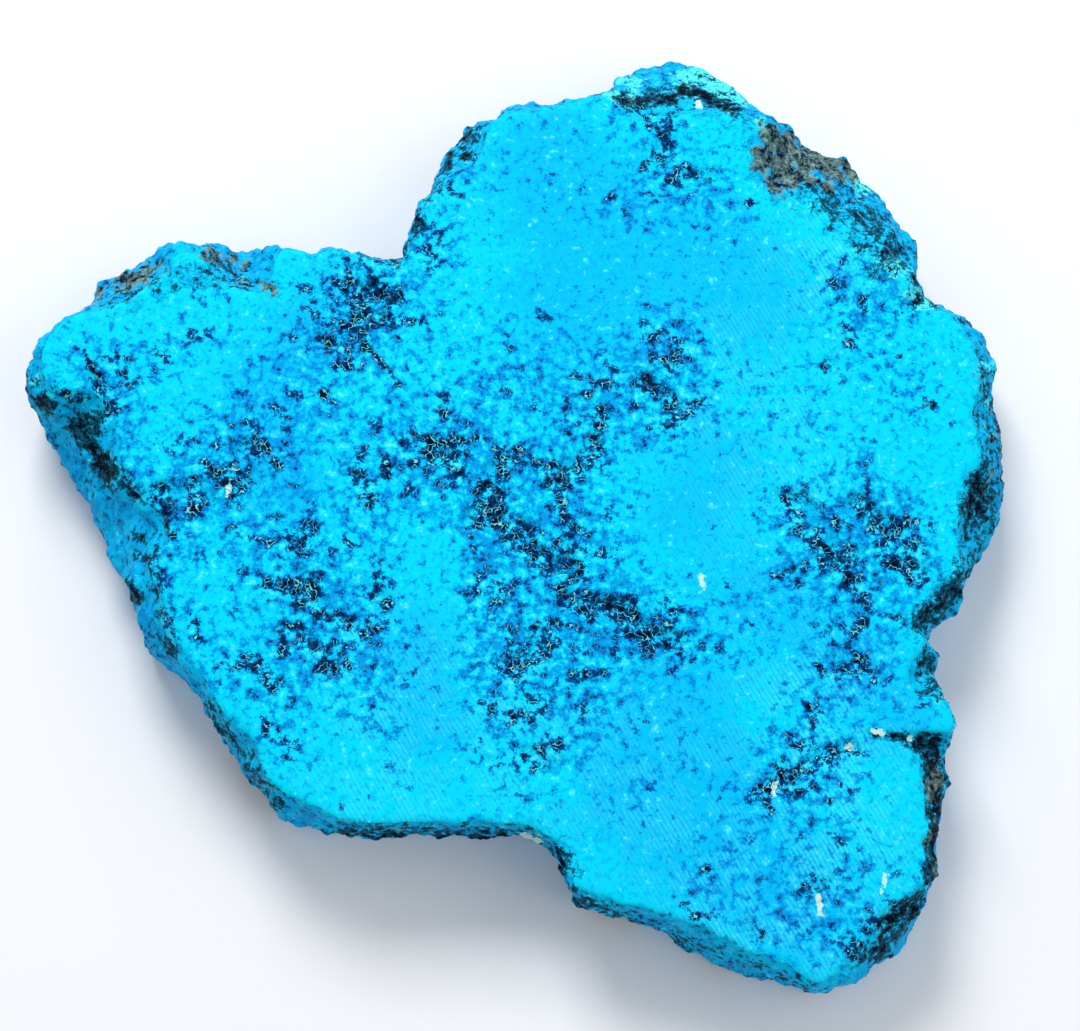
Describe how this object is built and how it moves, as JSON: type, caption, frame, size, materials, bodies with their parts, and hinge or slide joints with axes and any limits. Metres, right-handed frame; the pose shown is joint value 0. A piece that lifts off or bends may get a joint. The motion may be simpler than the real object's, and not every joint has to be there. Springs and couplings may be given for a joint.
{
  "type": "turquoise slab",
  "caption": "Rough slab sawn from a lump of turquoise: a flat blue face veined with dark matrix, inside a broken natural rind.",
  "frame": {"origin": "centre of the slab's bounding box, in the plane of its flat back, on which it lies", "axes": "+Z is the sawn face's outward normal, up; +X is the picture's right, along the slab's longest extent; +Y is the picture's up"},
  "size_m": [0.1184, 0.1154, 0.016],
  "materials": {
    "turquoise": "sawn matt face, rough natural rind"
  },
  "bodies": {
    "root": {"turquoise_slab": "turquoise"}
  },
  "joints": []
}
